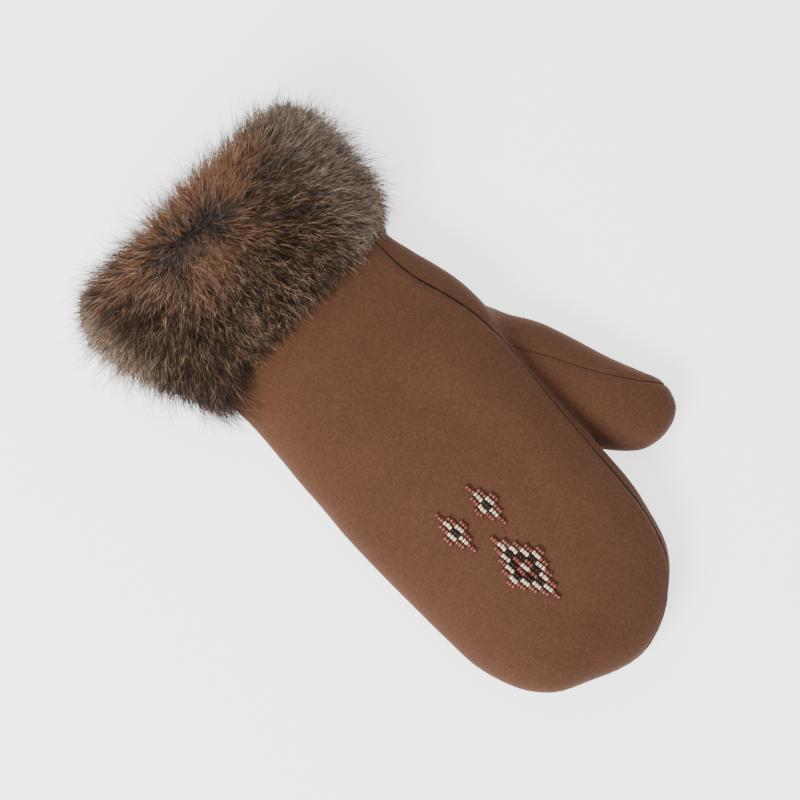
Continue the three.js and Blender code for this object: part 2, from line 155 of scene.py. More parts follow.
# Tones of the fur: colour of the root, the shaft, the pale band and the tip, in thousandths.
FUR_TONES = {
    "slate": ((40, 38, 36), (68, 64, 58), (110, 98, 84), (80, 68, 56)),
    "black": ((15, 9, 6), (16, 9, 5), (26, 14, 8), (15, 9, 5)),
    "umber": ((30, 18, 12), (48, 27, 16), (115, 64, 36), (46, 27, 16)),
    "agouti": ((22, 14, 10), (27, 16, 10), (430, 275, 168), (140, 85, 51)),
    "rust": ((85, 43, 24), (215, 104, 57), (385, 205, 118), (312, 162, 92)),
    "tan": ((50, 34, 23), (140, 88, 54), (500, 345, 225), (340, 230, 150)),
    "ash": ((60, 48, 38), (150, 118, 92), (400, 320, 250), (280, 222, 172)),
    "cream": ((100, 78, 58), (260, 200, 140), (640, 520, 400), (560, 450, 340)),
}

# How much likelier than elsewhere each tone is in the darker underfur, in the banded guard
# hairs, in the long hairs and inside the mouth.
DARK = {"agouti": 0.35, "black": 1.4, "tan": 0.6}
BANDED = {"agouti": 2.8, "umber": 0.5, "tan": 1.5, "cream": 1.5}
LONG = {"black": 2.0, "agouti": 1.5}
# Inside the mouth the lighter tones are painted light, which lifts the shade in the fold of the
# cuff.
INSIDE = {"slate": 0.4, "black": 0.3, "umber": 0.6, "rust": 2.0, "tan": 2.6, "cream": 1.6}

# The kinds of hair. Length is a share of a guard hair's. Width, depth of the root and width of
# the locks are in millimetres. Rise at the root and later on, and droop, are in degrees.
# Ends and hem say how the hairs shorten at the cuff's ends and at its edge, middle is where a
# hair's second ring lies on its map, and spread is the part of the pelt that they grow on.
HAIR_COLUMNS = (
    "name", "seed", "count", "joints", "length", "width", "depth", "rise", "later", "droop",
    "lean", "stray", "bend", "lock", "ends", "hem", "middle", "spread", "tones")
HAIR_ROWS = (
    ("underfur_a", 1, 23500, 3, 0.66, 0.31, 1.5, 72, 52, 16,
     0.34, 0.26, 0.34, 5, 0.24, 0.66, 0.35, (0, 0.83), DARK),
    ("underfur_b", 2, 23500, 3, 0.76, 0.29, 1.5, 70, 50, 16,
     0.36, 0.26, 0.36, 6, 0.24, 0.66, 0.35, (0, 0.83), DARK),
    ("underfur_c", 3, 23500, 3, 0.84, 0.26, 1.5, 68, 48, 16,
     0.38, 0.26, 0.38, 7, 0.20, 0.66, 0.35, (0, 0.83), {}),
    ("guard_hair", 4, 15500, 4, 0.93, 0.29, 1.5, 68, 48, 20,
     0.32, 0.22, 0.24, 7, 0.08, 0.56, 0.35, (0, 0.83), BANDED),
    ("long_hair", 5, 6000, 4, 1.42, 0.21, 1.5, 58, 36, 14,
     0.30, 0.36, 0.30, 9, 0.04, 0.40, 0.35, (0.07, 0.83), LONG),
    # The mouth hairs' middle lies late on the map so that their pale band starts sooner: painted
    # light for the shaded fold.
    ("mouth_hair", 6, 5400, 3, 0.44, 0.40, -1.0, 62, 30, 14,
     0.40, 0.34, 0.30, 6, 0, 0.66, 0.58, (0.78, 1), INSIDE),
)

# Beadwork. Kinds of bead in a diamond's rings from the outside in, its place on the back,
# pitch of its beads and its turn in degrees. A thread takes up a run of three at a time.
DIAMONDS = (
    ("RWB", (-1.3 * MM, 52.8 * MM), 1.71 * MM, 1.5),
    ("RWB", (17.7 * MM, 52.1 * MM), 1.71 * MM, 1.9),
    ("RWBRW", (6.35 * MM, 86.0 * MM), 1.59 * MM, 3.5),
)
RUN = 3
# Of a bead's radius: that of its hole, and half its length.
HOLE_SHARE = 0.34
BEAD_FLATNESS = 0.68
# Name, roughness and clear coat of the beads of each kind.
BEAD_KINDS = {"R": ("rose", 0.22, 0.5), "W": ("white", 0.25, 0.5), "B": ("black", 0.40, 0.10)}

# The camera: what a pixel of the photograph shows and how high above the floor, how many pixels
# it has a side, and where the camera looks.
PIXEL = 0.47 * MM
PHOTO_SIDE = 800
LOOKS_AT = (-7.4 * MM, -9.4 * MM)
SCALE_HEIGHT = 20 * MM


class MittenSizes(bpy.types.PropertyGroup):
    """Sizes that a user may change."""

    hand_length: bpy.props.FloatProperty(
        name="Hand length", description="From the hem to the fingertip",
        default=292.5 * MM, unit="LENGTH")
    hand_width: bpy.props.FloatProperty(
        name="Hand width", description="Across the palm", default=114 * MM, unit="LENGTH")
    hand_depth: bpy.props.FloatProperty(
        name="Hand depth", description="From palm to back", default=43 * MM, unit="LENGTH")
    origin_from_hem: bpy.props.FloatProperty(
        name="Origin from hem", description="From the hem to the middle of the palm",
        default=137 * MM, unit="LENGTH")
    thumb_length: bpy.props.FloatProperty(
        name="Thumb length", description="From its root inside the palm to its tip",
        default=135.5 * MM, unit="LENGTH")
    thumb_width: bpy.props.FloatProperty(
        name="Thumb width", description="Across the thumb", default=43 * MM, unit="LENGTH")
    thumb_depth: bpy.props.FloatProperty(
        name="Thumb depth", description="Height of the thumb as it lies",
        default=27 * MM, unit="LENGTH")
    suede: bpy.props.FloatProperty(
        name="Suede", description="Thickness of the suede", default=1.9 * MM, unit="LENGTH")
    seam_roll: bpy.props.FloatProperty(
        name="Seam roll", description="Radius with which an edge rolls into its seam",
        default=1.5 * MM, unit="LENGTH")
    bead_width: bpy.props.FloatProperty(
        name="Bead width", description="Diameter of a seed bead",
        default=2.12 * MM, unit="LENGTH")
    column_pitch: bpy.props.FloatProperty(
        name="Column pitch", description="Between two columns of beads",
        default=2.58 * MM, unit="LENGTH")
    hair_length: bpy.props.FloatProperty(
        name="Hair length", description="Length of a guard hair",
        default=19 * MM, unit="LENGTH")


class MittenColours(bpy.types.PropertyGroup):
    """Colours that a user may change."""

    suede: bpy.props.FloatVectorProperty(
        name="Suede", description="Colour of the suede", subtype="COLOR", size=3,
        default=(0.0825, 0.0347, 0.0178))
    suede_dark: bpy.props.FloatVectorProperty(
        name="Suede, dark", description="Colour where the nap lies away",
        subtype="COLOR", size=3, default=(0.0690, 0.0280, 0.0140))
    bead_rose: bpy.props.FloatVectorProperty(
        name="Rose beads", description="Colour of the rose beads", subtype="COLOR",
        size=3, default=(0.20, 0.050, 0.032))
    bead_white: bpy.props.FloatVectorProperty(
        name="White beads", description="Colour of the cream-white beads",
        subtype="COLOR", size=3, default=(0.86, 0.71, 0.54))
    bead_black: bpy.props.FloatVectorProperty(
        name="Black beads", description="Colour of the black beads", subtype="COLOR",
        size=3, default=(0.006, 0.004, 0.004))


def sizes():
    return bpy.context.scene.mitten_sizes


def colours():
    return bpy.context.scene.mitten_colours


# Working out the forms

def row_at(table, q):
    """Every column of a table at q rows from its first, on a smooth curve."""
    last = len(table) - 1
    i = np.clip(np.floor(q).astype(int), 0, last - 1)
    t = (q - i)[:, None]
    p, r, s, u = (table[np.clip(i + k, 0, last)] for k in (-1, 0, 1, 2))
    return r + 0.5 * t * (s - p + t * (2 * p - 5 * r + 4 * s - u + t * (3 * (r - s) + u - p)))


def rounded_square(wave):
    """A sine or cosine squared off, so that a section is fuller than an ellipse."""
    return np.sign(wave) * np.abs(wave) ** SUPER_POWER


def smooth_step(t):
    t = np.clip(t, 0, 1)
    return t * t * (3 - 2 * t)


def rising(value, start, reach):
    """From 0 at the start to 1 a reach beyond it."""
    return smooth_step((value - start) / reach)


def falling(value, end, reach):
    """From 1 a reach before the end to 0 at the end."""
    return smooth_step((end - value) / reach)


def falloff(distance, reach):
    return np.exp(-(distance / reach) ** 2)


def wave(along, length):
    return np.sin(along / length * 2 * np.pi)


def unit(vectors):
    return vectors / np.maximum(np.linalg.norm(vectors, axis=-1, keepdims=True), 1e-12)


def lengths_along(line):
    """How far along a line of places each place is."""
    return np.concatenate([[0], np.cumsum(np.linalg.norm(np.diff(line, axis=0), axis=1))])


def section_point(turn, left, right, top, under):
    across = rounded_square(np.cos(np.radians(turn)))
    up = rounded_square(np.sin(np.radians(turn)))
    x = (left + right) / 2 - across * (right - left) / 2
    z = (top + under) / 2 + up * (top - under) / 2
    return x, z, up


def hand_points(turn, q):
    """Places on the hand's outside. Turn 0 is the thumb side, 90 the back."""
    size = sizes()
    turn, q = np.broadcast_arrays(np.asarray(turn, float), np.asarray(q, float))
    at, left, right, top, under, _, bed = row_at(HAND_SECTIONS, q).T
    width, depth = size.hand_width, size.hand_depth
    top, under = top * depth, under * depth
    x, z, up = section_point(turn, left * width, right * width, top, under)
    bedded = bed * rising(-x / width, 0.16, 0.26)
    z = z + THUMB_LIFT * bedded
    z = z - np.where(up < 0, up, 0) * BED_HOLLOW * bedded * (top - under) / 2
    y = at * size.hand_length - size.origin_from_hem
    return np.stack([x, y, np.maximum(z, 0)], -1)


def thumb_points(turn, q):
    """Places on the thumb's outside."""
    size = sizes()
    at, outer, inner, top, under = row_at(THUMB_SECTIONS, np.asarray(q, float)).T
    x, z, _ = section_point(
        turn, -outer * size.thumb_width, inner * size.thumb_width,
        top * size.thumb_depth, under * size.thumb_depth)
    z = z - THUMB_SIDE_TILT * smooth_step(x / (size.thumb_width / 2))
    y = at * size.thumb_length
    sine, cosine = math.sin(THUMB_SPREAD), math.cos(THUMB_SPREAD)
    return np.stack([
        x * cosine - y * sine + THUMB_ROOT[0],
        x * sine + y * cosine + THUMB_ROOT[1] - size.origin_from_hem,
        np.maximum(z, 0)], -1)


def hand_normals(turn, q):
    last = len(HAND_SECTIONS) - 1
    q = np.clip(q, 0.01, last - 0.02)
    around = hand_points(turn + 1, q) - hand_points(turn - 1, q)
    onwards = hand_points(turn, q + 0.01) - hand_points(turn, q - 0.01)
    return unit(np.cross(around, onwards))


def rows_at_length(along):
    """How many rows from the hem each length along the hand is."""
    fine = np.linspace(0, len(HAND_SECTIONS) - 1, 2000)
    reached = row_at(HAND_SECTIONS, fine)[:, 0] * sizes().hand_length
    return np.interp(along, reached, fine)


def around_wrist(turn, along, out):
    """Places out from the suede of the wrist, along the hand from the hem."""
    turn, along, out = np.broadcast_arrays(turn, along, out)
    q = rows_at_length(np.maximum(along, 0))
    place = hand_points(turn, q)
    outward = hand_normals(turn, q)
    outward[:, 1] = 0
    place[:, 1] = along - sizes().origin_from_hem
    place = place + unit(outward) * out[:, None]
    place[:, 2] = np.maximum(place[:, 2], 0)
    return place


# Making meshes

def select_only(*objects):
    bpy.ops.object.select_all(action="DESELECT")
    for ob in objects:
        ob.select_set(True)
    bpy.context.view_layer.objects.active = objects[0]


def finish_piece(ob, material):
    """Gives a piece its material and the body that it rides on."""
    ob.data.materials.append(material)
    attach(ob, "root")


def shade_smooth(ob):
    select_only(ob)
    bpy.ops.object.shade_smooth()


def new_object(name, data):
    """An object with its mesh, lamp or lens, linked to the scene."""
    ob = bpy.data.objects.new(name, data)
    bpy.context.collection.objects.link(ob)
    return ob


def coordinates(mesh, kind="co"):
    found = np.empty(len(mesh.vertices) * 3)
    mesh.vertices.foreach_get(kind, found)
    return found.reshape(-1, 3)


def set_coordinates(mesh, places):
    mesh.vertices.foreach_set("co", np.ascontiguousarray(places).ravel())
    mesh.update()


def face_outwards(ob):
    select_only(ob)
    bpy.ops.object.mode_set(mode="EDIT")
    bpy.ops.mesh.select_all(action="SELECT")
    bpy.ops.mesh.normals_make_consistent(inside=False)
    bpy.ops.object.mode_set(mode="OBJECT")


def loft_from_sphere(name, points, last_row, segments, rings, lead):
    """A sphere whose rings are moved onto the rings of a loft."""
    bpy.ops.object.select_all(action="DESELECT")
    bpy.ops.mesh.primitive_uv_sphere_add(segments=segments, ring_count=rings, radius=1)
    ob = bpy.context.object
    ob.name = name
    co = coordinates(ob.data)
    turn = np.degrees(np.arctan2(co[:, 1], co[:, 0]))
    ring = rings - np.round(np.arccos(np.clip(co[:, 2], -1, 1)) / np.pi * rings)
    places = points(turn, np.clip(ring - 1, 0, None) / (rings - 1) * last_row)
    places[ring <= 1, 1] -= lead
    places[ring == 0] = places[ring == 1].mean(0)
    set_coordinates(ob.data, places)
    face_outwards(ob)
    return ob


def relaxed(places, edges, weight, rounds):
    """Vertices drawn towards the middle of their neighbours, round after round."""
    count = len(places)
    ends = np.concatenate([edges[:, 0], edges[:, 1]])
    others = np.concatenate([edges[:, 1], edges[:, 0]])
    number = np.maximum(np.bincount(ends, minlength=count), 1)
    for _ in range(rounds):
        middle = np.stack([
            np.bincount(ends, places[others, k], minlength=count) / number for k in range(3)], 1)
        places = places + (middle - places) * weight[:, None]
    return places


def gentle_waves(places):
    """How far the suede waves in and out, as leather does that has been worn."""
    found = np.empty(len(places))
    for k, p in enumerate(places):
        v = Vector(p)
        found[k] = 0.50 * noise.noise(v * 22) + 0.22 * noise.noise(v * 55 + Vector((3, 1, 7)))
    return found * MM


def suede_outside():
    """The whole outside of hand and thumb as one fine mesh, closed a little behind the hem."""
    hand = loft_from_sphere("hand", hand_points, len(HAND_SECTIONS) - 1, 120, 180, HEM_LEAD)
    thumb = loft_from_sphere("thumb", thumb_points, len(THUMB_SECTIONS) - 1, 72, 90, 0)
    select_only(hand, thumb)
    bpy.ops.object.join()
    hand.data.remesh_voxel_size = VOXEL
    bpy.ops.object.voxel_remesh()
    mesh = hand.data
    places = coordinates(mesh)
    edges = np.array([list(e.vertices) for e in mesh.edges])

    def near(x, y, z, reach):
        centre = np.array([x, y, z]) * MM
        return falloff(np.linalg.norm(places - centre, axis=1), reach * MM)

    at_crotch = 0.8 * near(-66, -3, 20, 15)
    places = relaxed(places, edges, np.full(len(places), 0.5), 5)
    places = relaxed(places, edges, at_crotch, 12)
    places = relaxed(places, edges, 0.8 * near(-69, -13, 10, 11), 14)
    set_coordinates(mesh, places)
    normals = coordinates(mesh, "normal")
    lifted = rising(places[:, 2], 0, 12 * MM)
    on_thumb = falling(places[:, 0], -60 * MM, 8 * MM) * rising(places[:, 1], -25 * MM, 20 * MM)
    outward = (0.6 + 0.5 * on_thumb + 1.3 * near(-67, -9, 10, 8)) * MM
    outward = outward + gentle_waves(places) * lifted
    places = places + normals * outward[:, None]
    places[:, 2] = np.maximum(places[:, 2], 0)
    set_coordinates(mesh, places)
    return hand


def seam_round_back():
    """The back's seam up the thumb's side to the fingertip, and down the far side."""
    last = len(HAND_SECTIONS) - 1
    q = np.linspace(0, last - 0.02, 260)
    up_side = hand_points(row_at(HAND_SECTIONS, q)[:, 5], q)
    far_side = hand_points(OUTER_SEAM_TURN, q)
    lead = [0, SEAM_LEAD, 0]
    return [np.concatenate([[side[0] - lead], side]) for side in (up_side, far_side)]


def distance_to_line(points, line):
    """Distance to a line, length along it, its way there and the step from it, for each point."""
    start, way = line[:-1], line[1:] - line[:-1]
    square = np.maximum((way ** 2).sum(1), 1e-18)
    lengths = np.concatenate([[0], np.cumsum(np.sqrt(square))])
    found = []
    for low in range(0, len(points), 4000):
        p = points[low:low + 4000]
        t = np.clip(((p[:, None] - start) * way).sum(2) / square, 0, 1)
        apart = p[:, None] - start - t[:, :, None] * way
        squared = (apart ** 2).sum(2)
        best = squared.argmin(1)
        pick = np.arange(len(p))
        along = lengths[best] + t[pick, best] * np.sqrt(square[best])
        found.append((np.sqrt(squared[pick, best]), along, way[best], apart[pick, best]))
    return [np.concatenate(part) for part in zip(*found)]


def thumb_seam_line():
    size = sizes()
    q = np.linspace(0, len(THUMB_SEAM) - 1, 240)
    across, along = row_at(THUMB_SEAM, q).T
    y = along * size.hand_length - size.origin_from_hem
    return np.stack([across * size.hand_width, y, np.zeros(len(q))], 1)


def seam_fields(points):
    """Signed distance to the back's seam and to the thumb's seam, and lengths along them."""
    near_side, far_side = seam_round_back()
    back, along_back, _, _ = distance_to_line(points, np.concatenate([near_side, far_side[::-1]]))
    x1, z1 = (np.interp(points[:, 1], near_side[:, 1], near_side[:, k]) for k in (0, 2))
    x2, z2 = (np.interp(points[:, 1], far_side[:, 1], far_side[:, k]) for k in (0, 2))
    share = np.clip((points[:, 0] - x1) / (x2 - x1), 0, 1)
    above = points[:, 2] - z1 - (z2 - z1) * share
    close = falling(back, 5.5 * MM, 3 * MM)
    back += (np.minimum(back, 1.5 * np.abs(above)) - back) * close
    back = np.where(above > 0, back, -back)
    flat = points * [1, 1, 0]
    thumb, along_thumb, way, apart = distance_to_line(flat, thumb_seam_line())
    thumb = np.where(way[:, 1] * apart[:, 0] - way[:, 0] * apart[:, 1] < 0, -thumb, thumb)
    return back, along_back, thumb, along_thumb


def cut_at(bm, layers, layer, level, allowed):
    """Adds edges along which a field has a level, in the faces that are allowed.

    A vertex that is close to the level is moved onto it, so that no sliver is left.
    """
    crossed = [
        e for e in bm.edges
        if (e.verts[0][layer] - level) * (e.verts[1][layer] - level) < 0
        and any(allowed(f) for f in e.link_faces)
    ]
    marked = dict.fromkeys(v for v in bm.verts if v[layer] == level)
    for e in crossed:
        a, b = e.verts
        if (a[layer] - level) * (b[layer] - level) >= 0:
            continue
        share = (level - a[layer]) / (b[layer] - a[layer])
        near, other, at = (a, b, share) if share < 0.5 else (b, a, 1 - share)
        if at < SNAP_SHARE:
            near.co = near.co.lerp(other.co, at)
            for field in layers:
                near[field] += (other[field] - near[field]) * at
        else:
            fields = [a[field] + (b[field] - a[field]) * share for field in layers]
            _, near = bmesh.utils.edge_split(e, a, share)
            for field, value in zip(layers, fields):
                near[field] = value
        near[layer] = level
        marked[near] = None
    for f in dict.fromkeys(f for v in marked for f in v.link_faces if allowed(f)):
        on = [v for v in f.verts if v in marked]
        if len(on) == 2 and not any(on[1] in e.verts for e in on[0].link_edges):
            bmesh.utils.face_split(f, on[0], on[1])


def cut_suede():
    """The outside of hand and thumb with edges along the seams and beside them."""
    whole = suede_outside()
    bm = bmesh.new()
    bm.from_mesh(whole.data)
    everything = bm.verts[:] + bm.edges[:] + bm.faces[:]
    bmesh.ops.bisect_plane(
        bm, geom=everything, plane_co=(0, -sizes().origin_from_hem, 0), plane_no=(0, 1, 0),
        clear_inner=True)
    from_back, _, from_thumb, _ = seam_fields(np.array([v.co for v in bm.verts]))
    back = bm.verts.layers.float.new("from_back_seam")
    thumb = bm.verts.layers.float.new("from_thumb_seam")
    for v, a, b in zip(bm.verts, from_back, from_thumb):
        v[back], v[thumb] = a, b

    def anywhere(f):
        return True

    def below_back(f):
        return sum(v[back] for v in f.verts) <= 0

    for layer, allowed in ((back, anywhere), (thumb, below_back)):
        for level in SEAM_LEVELS:
            cut_at(bm, (back, thumb), layer, level * MM, allowed)
    bm.normal_update()
    bm.to_mesh(whole.data)
    bm.free()
    return whole


def seam_shape(number, from_back, along_back, from_thumb, along_thumb):
    """How far a panel stands out beside its seams, and how dark it is painted there: painted shade
    in the seam's groove, with some grime. All in millimetres.
    """
    full_roll = sizes().seam_roll / MM
    apart, along = np.abs(from_back), along_back
    later = rising(along, 70, 50)
    roll = full_roll * (0.34 + 0.66 * later)
    # Painted shade in the groove of the seam, with some grime: darkest on the seam itself.
    dark = (0.42 + 0.58 * later) * falloff(apart, 0.55)
    drop = 0
    if number:
        drop = 0.55 * falloff(apart - 2.6, 2)
        nearer = rising(apart, np.abs(from_thumb), 1.5)
        along = np.where(nearer > 0, along_thumb, along)
        apart = np.minimum(apart, np.abs(from_thumb))
        begun = rising(along_thumb, 0, 26)
        roll += (full_roll * (0.15 + 0.15 * begun) - roll) * nearer
        # Along the thumb's seam the painted shade is fainter and comes and goes with the stitches.
        faint = 0.55 * begun * (0.75 + 0.25 * wave(along, STITCH)) * falloff(apart, 0.40)
        dark += (faint - dark) * nearer
    inside = np.clip(1 - apart / roll, 0, 1)
    sink = roll * (1 - np.sqrt(np.maximum(1 - inside ** 2, 0)))
    lip = (0.20 if number else 0.50) * falloff(apart - 2.8, 1.6)
    pucker = 0.10 * (wave(along, STITCH) + 0.6 * wave(along, SLOW_PUCKER)) * falloff(apart, 3.2)
    free = 1 - falloff(apart, 0.8)
    return (lip + pucker - drop) * free - sink, dark


def suede_panels():
    """The three panels as open sheets whose edges roll into their seams."""
    whole = cut_suede()
    places, normals = coordinates(whole.data), coordinates(whole.data, "normal")
    fields = np.array(seam_fields(places))
    corners = [list(p.vertices) for p in whole.data.polygons]
    from_back, from_thumb = (np.array([fields[k, c].mean() for c in corners]) for k in (0, 2))
    panel = np.where(from_back > 0, 0, np.where(from_thumb < 0, 1, 2))
    made = []
    for number, name in enumerate(PANELS):
        chosen = [c for c, k in zip(corners, panel) if k == number]
        used = np.unique(np.concatenate(chosen))
        renumber = np.zeros(len(places), int)
        renumber[used] = np.arange(len(used))
        outward, dark = seam_shape(number, *fields[:, used] / MM)
        moved = places[used] + normals[used] * outward[:, None] * MM
        moved[:, 2] = np.maximum(moved[:, 2], 0)
        sheet = bpy.data.meshes.new(name)
        sheet.from_pydata(moved.tolist(), [], [renumber[c].tolist() for c in chosen])
        # How dark each vertex is painted beside a seam: painted shade and grime, read by the
        # material.
        near_seam = sheet.attributes.new("near_seam", "FLOAT", "POINT")
        near_seam.data.foreach_set("value", dark.astype(np.float32))
        made.append(new_object(name, sheet))
    bpy.data.objects.remove(whole)
    return made


# Materials

def feed(node, inputs):
    """Sets a node's inputs to values, or links them to the outputs of other nodes."""
    for key, value in inputs.items():
        if isinstance(value, bpy.types.NodeSocket):
            node.id_data.links.new(value, node.inputs[key])
        else:
            node.inputs[key].default_value = value


def node_adder(tree):
    """A helper that adds a node to a tree, with its settings and its inputs."""

    def add(kind, inputs=None, **settings):
        node = tree.nodes.new(kind)
        for key, value in settings.items():
            setattr(node, key, value)
        feed(node, inputs or {})
        return node

    return add


def new_material(name):
    """A material with its shader, and a helper that adds a node to it."""
    mat = bpy.data.materials.new(name)
    mat.use_nodes = True
    shader = next(n for n in mat.node_tree.nodes if n.type == "BSDF_PRINCIPLED")
    return mat, shader, node_adder(mat.node_tree)


def rgba(colour, share=1.0):
    return (*[min(c * share, 1) for c in colour], 1.0)


def object_place(add):
    return add("ShaderNodeTexCoord").outputs["Object"]


def grain(add, place, scale, detail, rough=0.5):
    return add("ShaderNodeTexNoise", {
        "Vector": place, "Scale": scale, "Detail": detail, "Roughness": rough}).outputs["Fac"]


def tones_over(add, value, first, first_colour, last, last_colour):
    """A colour that goes from one to another between two values."""
    tone = add("ShaderNodeValToRGB", {"Fac": value})
    stops = ((first, first_colour), (last, last_colour))
    for stop, (position, colour) in zip(tone.color_ramp.elements, stops):
        stop.position = position
        stop.color = colour
    return tone.outputs["Color"]


def suede_nap():
    """Mottling and nap of suede, used by every panel."""
    name = "Suede nap"
    found = bpy.data.node_groups.get(name)
    if found:
        return found
    group = bpy.data.node_groups.new(name, "ShaderNodeTree")
    group.interface.new_socket("Vector", in_out="INPUT", socket_type="NodeSocketVector")
    for output in ("Mottle", "Nap", "Height"):
        group.interface.new_socket(output, in_out="OUTPUT", socket_type="NodeSocketFloat")
    add = node_adder(group)
    place = add("NodeGroupInput").outputs["Vector"]

    def blend(share, a, b):
        """That share of one field, and the rest of another."""
        rest = add("ShaderNodeMath", {0: b, 1: 1 - share}, operation="MULTIPLY").outputs[0]
        return add("ShaderNodeMath", {0: a, 1: share, 2: rest}, operation="MULTIPLY_ADD").outputs[0]

    patches = grain(add, place, 90, 5, 0.62)
    nap = blend(0.55, grain(add, place, 720, 5, 0.7), grain(add, place, 1600, 3, 0.7))
    add("NodeGroupOutput", {
        "Mottle": blend(0.7, grain(add, place, 16, 3), patches), "Nap": nap,
        "Height": blend(0.8, nap, patches)})
    return group


def suede_material(name):
    colour = colours()
    mat, shader, add = new_material(name)
    nap = add("ShaderNodeGroup", {"Vector": object_place(add)}, node_tree=suede_nap())
    tone = tones_over(
        add, nap.outputs["Mottle"], 0.36, rgba(colour.suede_dark), 0.64, rgba(colour.suede))
    fine = add("ShaderNodeMapRange", {
        "Value": nap.outputs["Nap"], "From Min": 0.3, "From Max": 0.7,
        "To Min": 0.60, "To Max": 1.44})
    shaded = add("ShaderNodeMix", {
        "Factor": 1.0, 6: tone, 7: fine.outputs["Result"]}, data_type="RGBA", blend_type="MULTIPLY")
    # Painted shade in the seam grooves, with some grime: the suede is mixed towards a darker brown
    # there.
    seam = add("ShaderNodeAttribute", attribute_name="near_seam")
    strength = add("ShaderNodeMath", {0: seam.outputs["Fac"], 1: 0.62}, operation="MULTIPLY")
    shaded_and_grimed = add("ShaderNodeMix", {
        "Factor": strength.outputs[0], 6: shaded.outputs[2],
        7: rgba(colour.suede_dark, 0.4)}, data_type="RGBA")
    bump = add("ShaderNodeBump", {
        "Strength": 0.45, "Distance": 0.00035, "Height": nap.outputs["Height"]})
    feed(shader, {
        "Base Color": shaded_and_grimed.outputs[2], "Normal": bump.outputs[0], "Roughness": 0.92,
        "Specular IOR Level": 0.18, "Sheen Weight": 0.08, "Sheen Roughness": 0.55,
        "Sheen Tint": (0.85, 0.55, 0.40, 1)})
    return mat


def fur_material(name):
    """Reads the tone of each hair across its map, and the place along the hair up it."""
    mat, shader, add = new_material(name)
    spot = add("ShaderNodeUVMap", uv_map="OFBake")
    parts = add("ShaderNodeSeparateXYZ", {0: spot.outputs["UV"]})
    count = len(FUR_TONES)

    def tones_of(part):
        """Each tone from its darker to its lighter hairs, side by side."""
        ramp = add("ShaderNodeValToRGB", {"Fac": parts.outputs[0]})
        stops = ramp.color_ramp.elements
        for number, tone in enumerate(FUR_TONES.values()):
            for edge, share in ((0.04, 0.72), (0.96, 1.32)):
                first = number == 0 and edge < 0.5
                stop = stops[0] if first else stops.new((number + edge) / count)
                stop.position = (number + edge) / count
                stop.color = rgba([c / 1000 for c in tone[part]], share)
        stops.remove(stops[-1])
        return ramp.outputs["Color"]

    colour = tones_of(0)
    for part, low, high in ((1, 0.15, 0.45), (2, 0.66, 0.76), (3, 0.90, 0.97)):
        fade = add("ShaderNodeMapRange", {
            "Value": parts.outputs[1], "From Min": low, "From Max": high},
            interpolation_type="SMOOTHSTEP")
        colour = add("ShaderNodeMix", {
            "Factor": fade.outputs["Result"], 6: colour, 7: tones_of(part)},
            data_type="RGBA").outputs[2]
    feed(shader, {"Base Color": colour, "Roughness": 0.6, "Specular IOR Level": 0.20})
    return mat


def pelt_material(name):
    mat, shader, add = new_material(name)
    wool = grain(add, object_place(add), 380, 6, 0.7)
    tone = tones_over(add, wool, 0.35, (0.010, 0.008, 0.007, 1), 0.70, (0.045, 0.032, 0.024, 1))
    bump = add("ShaderNodeBump", {"Strength": 0.8, "Distance": 0.001, "Height": wool})
    feed(shader, {
        "Base Color": tone, "Normal": bump.outputs[0], "Roughness": 0.95, "Sheen Weight": 0.15})
    return mat


def bead_material(name, colour, rough, clear):
    mat, shader, add = new_material(name)
    cast = grain(add, object_place(add), 330, 2)
    tone = tones_over(add, cast, 0.30, rgba(colour, 0.72), 0.70, rgba(colour, 1.18))
    feed(shader, {
        "Base Color": tone, "Roughness": rough, "Specular IOR Level": 0.35,
        "Coat Weight": clear, "Coat Roughness": 0.06})
    return mat


def thread_material(name):
    mat, shader, add = new_material(name)
    twist = grain(add, object_place(add), 2600, 2)
    tone = tones_over(add, twist, 0, (0.030, 0.014, 0.009, 1), 1, (0.110, 0.052, 0.032, 1))
    feed(shader, {"Base Color": tone, "Roughness": 0.75})
    return mat


# Fur

def fur_side_at(length):
    """Place on the hair's section, its way and the whole length, a length in from the cut edge."""
    steps = lengths_along(HAIR_SIDE)

    def place(at):
        return np.stack([np.interp(at, steps, HAIR_SIDE[:, k]) for k in (0, 1)], -1)

    before, after = np.maximum(length - 1.5 * MM, 0), np.minimum(length + 1.5 * MM, steps[-1])
    x, y = place(length).T
    return x, y, unit(place(after) - place(before)), steps[-1]


def even_turns():
    """Turns and lengths round the fur, from the middle of the back, as two tables."""
    turns = np.linspace(-90, 270, 1441)
    lengths = lengths_along(around_wrist(turns, 16 * MM, 8 * MM))
    return turns, lengths - np.interp(90, turns, lengths)


